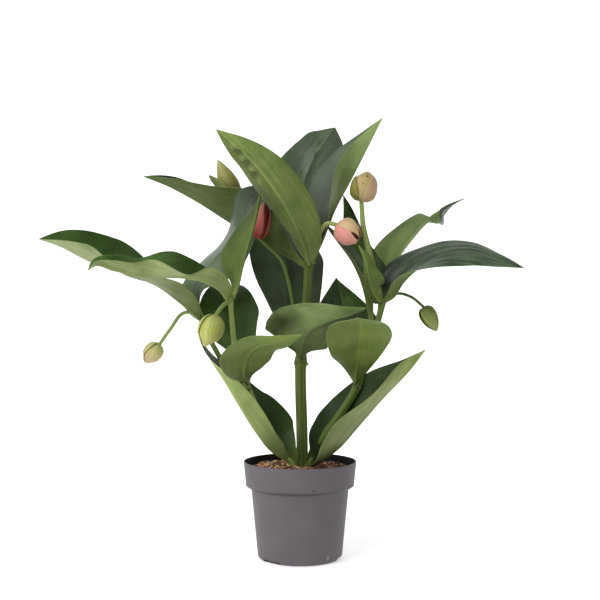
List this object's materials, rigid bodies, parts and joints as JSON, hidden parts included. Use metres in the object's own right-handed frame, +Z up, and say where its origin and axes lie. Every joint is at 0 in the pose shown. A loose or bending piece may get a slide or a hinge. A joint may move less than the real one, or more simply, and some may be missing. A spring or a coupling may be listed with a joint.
{
  "type": "potted rose grape plant",
  "caption": "Rose grape plant in a plastic nursery pot: branched upright stem, folded leathery leaves in pairs, and closed flower buds of overlapping bracts on long stalks",
  "frame": {"origin": "centre of the pot's flat base, on the floor", "axes": "+Z up; -Y is the side that faces the viewer; X runs across the widest spread of the leaves"},
  "size_m": [0.6077, 0.3428, 0.5517],
  "materials": {
    "pot": "fine matte moulded plastic",
    "soil": "matte damp peat and coir crumbs",
    "stem": "satin green bark, brown on the edges",
    "leaf": "leathery blade, waxy above and pale below",
    "bud_ochre": "satin bracts, ochre flushed with pink and olive",
    "bud_lime": "satin bracts, yellow green with darker veins",
    "bud_pink": "satin bracts, pink with cream edges",
    "bud_olive": "satin bracts, olive green",
    "bud_red": "satin bracts, dark red with brown edges"
  },
  "bodies": {
    "root": {"pot": "pot", "soil": "soil", "stems": "stem", "leaf_top_front": "leaf", "leaf_top_back": "leaf", "leaf_top_right": "leaf", "leaf_top_left": "leaf", "leaf_middle_back": "leaf", "leaf_middle_front": "leaf", "leaf_left_low_front": "leaf", "leaf_left_low_back": "leaf", "leaf_right_low_front": "leaf", "leaf_right_low_back": "leaf", "leaf_far_left": "leaf", "leaf_far_left_inner": "leaf", "leaf_left_drooping": "leaf", "leaf_left_upright": "leaf", "leaf_right_upper": "leaf", "leaf_far_right": "leaf", "leaf_right_front": "leaf", "leaf_right_inner": "leaf", "leaf_right_upright": "leaf", "leaf_base_left": "leaf", "leaf_base_right": "leaf", "bud_top_left": "bud_ochre", "bud_left_front": "bud_lime", "bud_far_left": "bud_lime", "bud_pink": "bud_pink", "bud_top_right": "bud_ochre", "bud_right": "bud_olive", "bud_red": "bud_red"}
  },
  "joints": []
}
